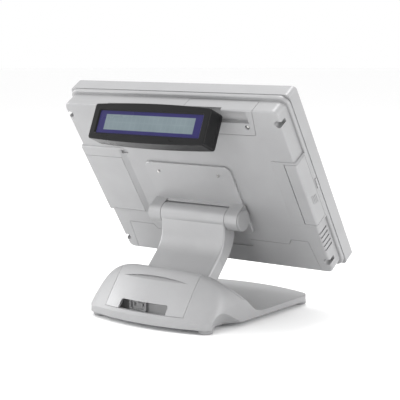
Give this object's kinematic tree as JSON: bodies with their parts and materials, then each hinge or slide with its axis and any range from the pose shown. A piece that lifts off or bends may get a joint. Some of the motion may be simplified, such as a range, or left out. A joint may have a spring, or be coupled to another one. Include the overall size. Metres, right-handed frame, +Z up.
{
  "type": "pos touchscreen terminal",
  "caption": "Point-of-sale touch computer on a tilting stand arm, with a compartment base and a small customer display on its back.",
  "frame": {"origin": "on the counter, under the middle of the bounding box", "axes": "+Z up; the operator stands at -Y and looks along +Y; the customer stands at +Y; +X is on the operator's right"},
  "size_m": [0.36, 0.27, 0.3109],
  "materials": {
    "body_plastic": "satin silver-grey moulded plastic",
    "bezel_plastic": "satin silver-grey moulded plastic",
    "base_plastic": "fine-textured silver-grey plastic",
    "cover_plastic": "fine-textured light grey plastic",
    "arm_plastic": "fine-textured silver-grey plastic",
    "bracket_metal": "satin silver-grey paint",
    "cast_arm": "as cast",
    "sheet_steel": "zinc-plated sheet",
    "ballast_steel": "plain steel",
    "screw_steel": "nickel-plated",
    "foot_rubber": "grey rubber",
    "gasket_rubber": "black foam rubber",
    "screen_glass": "etched touch glass",
    "lcd": "dark display panel",
    "board": "green solder mask",
    "heatsink_metal": "extruded",
    "black_plastic": "black moulded plastic",
    "dark_plastic": "glossy black moulded plastic",
    "adapter_plastic": "mid-grey moulded plastic",
    "indigo_window": "tinted indigo window",
    "light_lens": "green lens"
  },
  "bodies": {
    "base": {"base_rear_housing": "base_plastic", "base_top_cover": "base_plastic", "base_bottom_plate": "sheet_steel", "rubber_feet": "foot_rubber", "base_screws": "screw_steel", "arm_casting": "cast_arm", "arm_rear_shell": "arm_plastic", "arm_front_cover": "arm_plastic", "arm_flange_bolts": "screw_steel", "power_adapter": "adapter_plastic", "mains_inlet": "adapter_plastic", "ballast_plate": "ballast_steel", "hinge_shaft": "screw_steel", "hinge_spring_washers": "screw_steel", "hinge_lock_nuts": "screw_steel"},
    "base_cover": {"base_rear_cover": "cover_plastic"},
    "head": {"tilt_bracket": "bracket_metal", "hinge_end_caps": "body_plastic", "bracket_screws": "screw_steel", "head_rear_shell": "body_plastic", "front_bezel": "bezel_plastic", "status_light": "light_lens", "touch_glass": "screen_glass", "dust_gasket": "gasket_rubber", "lcd_panel": "lcd", "chassis_plate": "sheet_steel", "mainboard": "board", "heatsink": "heatsink_metal", "connector_block": "black_plastic", "speaker": "black_plastic", "power_switch": "black_plastic", "head_screws": "screw_steel", "side_cover": "body_plastic", "top_hatch": "body_plastic", "hatch_screw": "screw_steel", "display_bracket": "dark_plastic", "display_pin": "screw_steel"},
    "drive": {"drive_door": "body_plastic", "drive_tray": "black_plastic", "storage_drive": "sheet_steel"},
    "connector_door": {"connector_cover": "body_plastic"},
    "button": {"power_button": "cover_plastic"},
    "customer_display": {"display_front": "dark_plastic", "display_back": "dark_plastic", "display_window": "indigo_window", "display_module": "lcd", "display_board": "board", "display_screws": "screw_steel"}
  },
  "joints": [
    {"name": "head_tilt", "type": "hinge", "parent": "base", "child": "head", "pos_m": [0, 0.0074, 0.1307], "axis": [1, 0, 0], "range_deg": [-35, 25]},
    {"name": "customer_display_tilt", "type": "hinge", "parent": "head", "child": "customer_display", "pos_m": [0, 0.0794, 0.2472], "axis": [1, 0, 0], "range_deg": [-20, 5]},
    {"name": "drive_slide", "type": "slide", "parent": "head", "child": "drive", "axis": [-1, 0, 0], "range_m": [0, 0.075]},
    {"name": "base_cover_slide", "type": "slide", "parent": "base", "child": "base_cover", "axis": [0, 1, 0], "range_m": [0, 0.04]},
    {"name": "connector_cover_slide", "type": "slide", "parent": "head", "child": "connector_door", "axis": [0, -0.5402, -0.8415], "range_m": [0, 0.02]},
    {"name": "power_press", "type": "slide", "parent": "head", "child": "button", "axis": [1, 0, 0], "range_m": [0, 0.0012], "stiffness_N_per_m": 1200, "springref_m": -0.0004}
  ]
}
